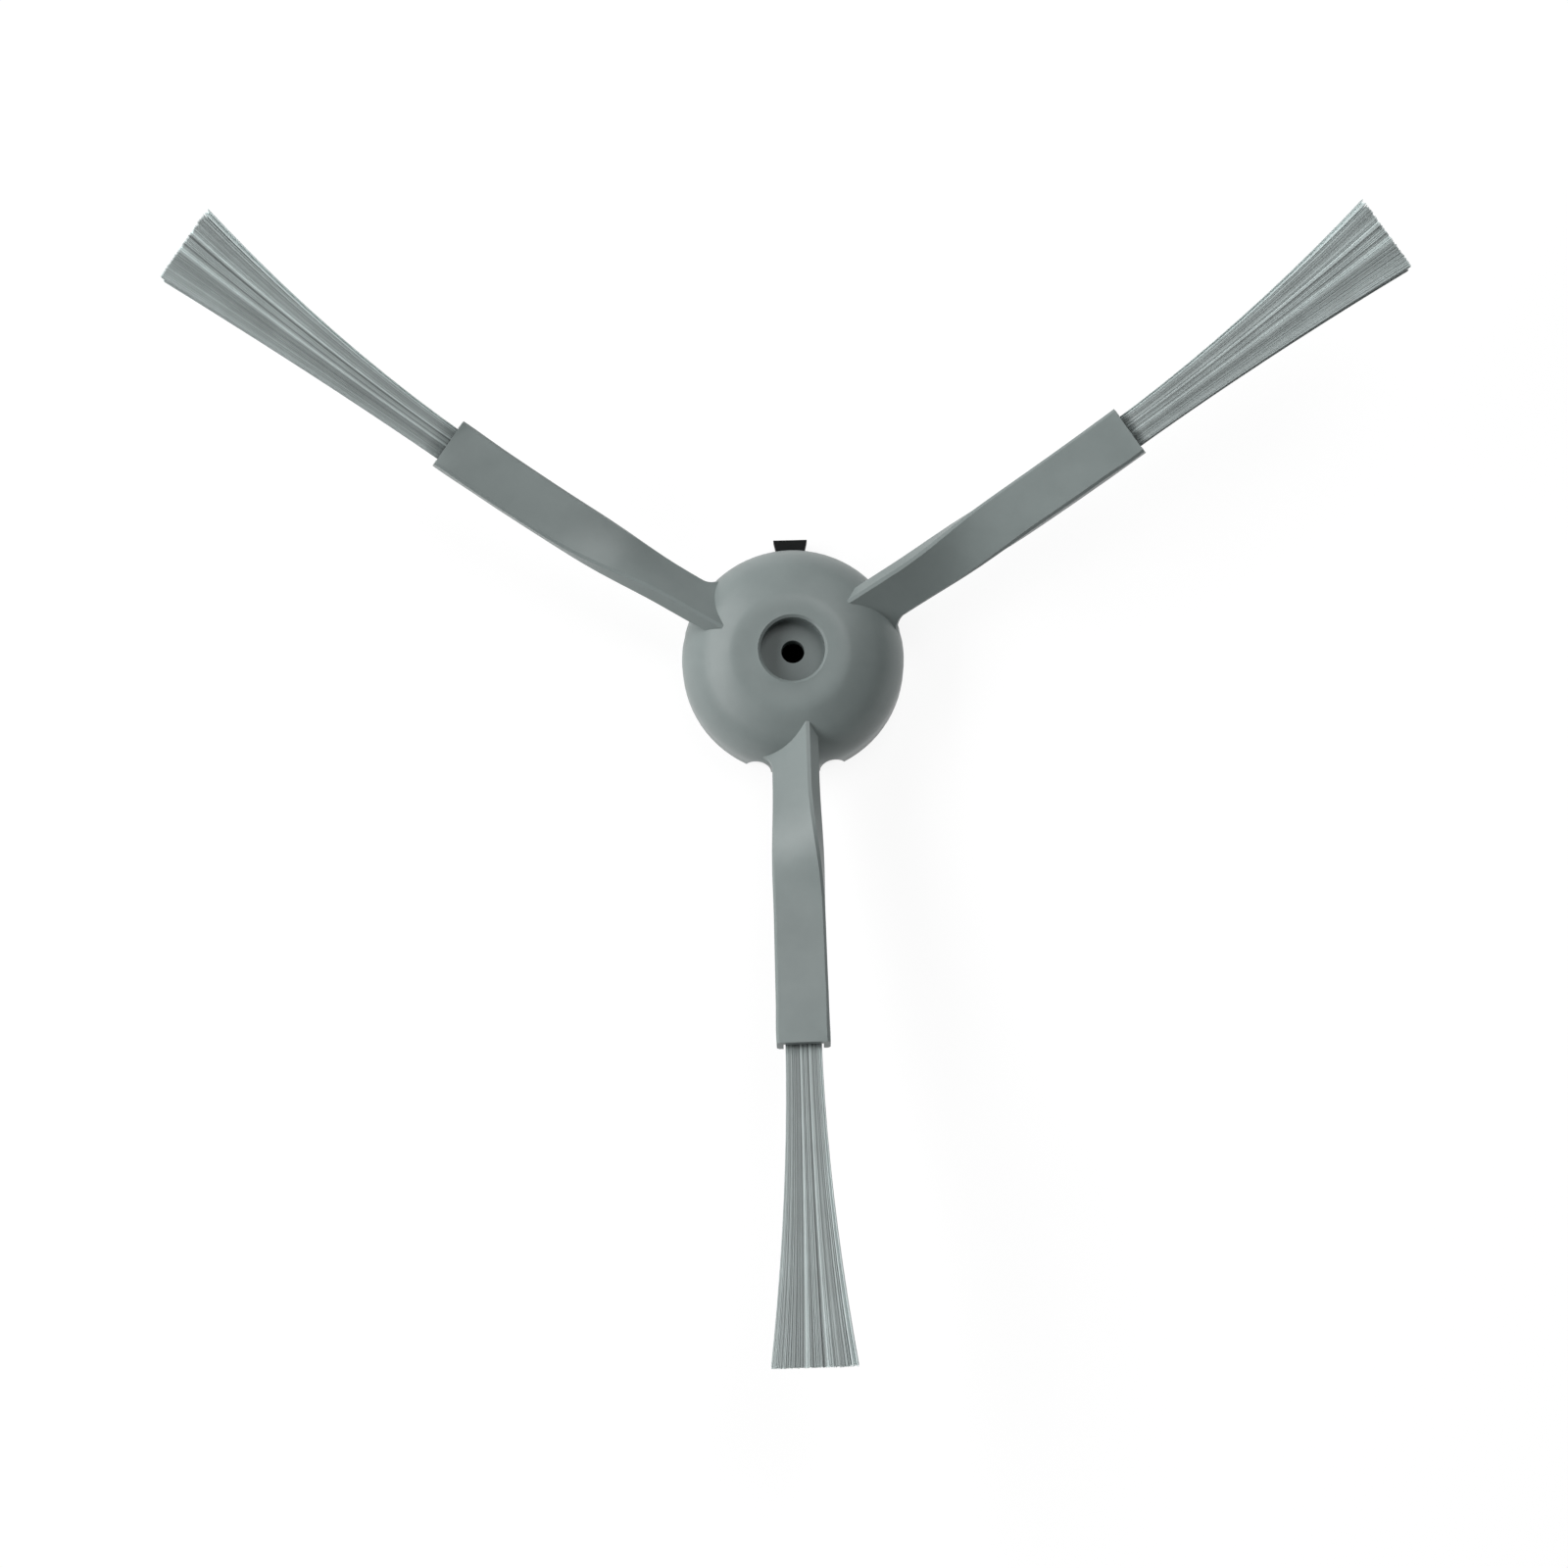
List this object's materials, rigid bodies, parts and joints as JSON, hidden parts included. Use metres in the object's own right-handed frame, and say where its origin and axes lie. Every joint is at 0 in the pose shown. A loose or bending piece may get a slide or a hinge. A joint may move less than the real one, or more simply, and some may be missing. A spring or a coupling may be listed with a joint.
{
  "type": "robot vacuum side brush",
  "caption": "Side brush for a robot vacuum: a domed hub with a screw recess carries twisted flat arms in soft grey elastomer, each ending in a flared tuft of nylon bristles.",
  "frame": {"origin": "on the axis of rotation, in the plane of the hub's back, which faces the robot", "axes": "+Z along the axis of rotation towards the domed side, which faces the floor in use; +Y towards the black key on the core"},
  "size_m": [0.1367, 0.1274, 0.0214],
  "materials": {
    "soft_grey": "matte",
    "black_core": "satin",
    "bristle": "satin"
  },
  "bodies": {
    "root": {"brush_body": "soft_grey", "drive_core": "black_core", "bristle_tuft_lower": "bristle", "bristle_tuft_right": "bristle", "bristle_tuft_left": "bristle"}
  },
  "joints": []
}
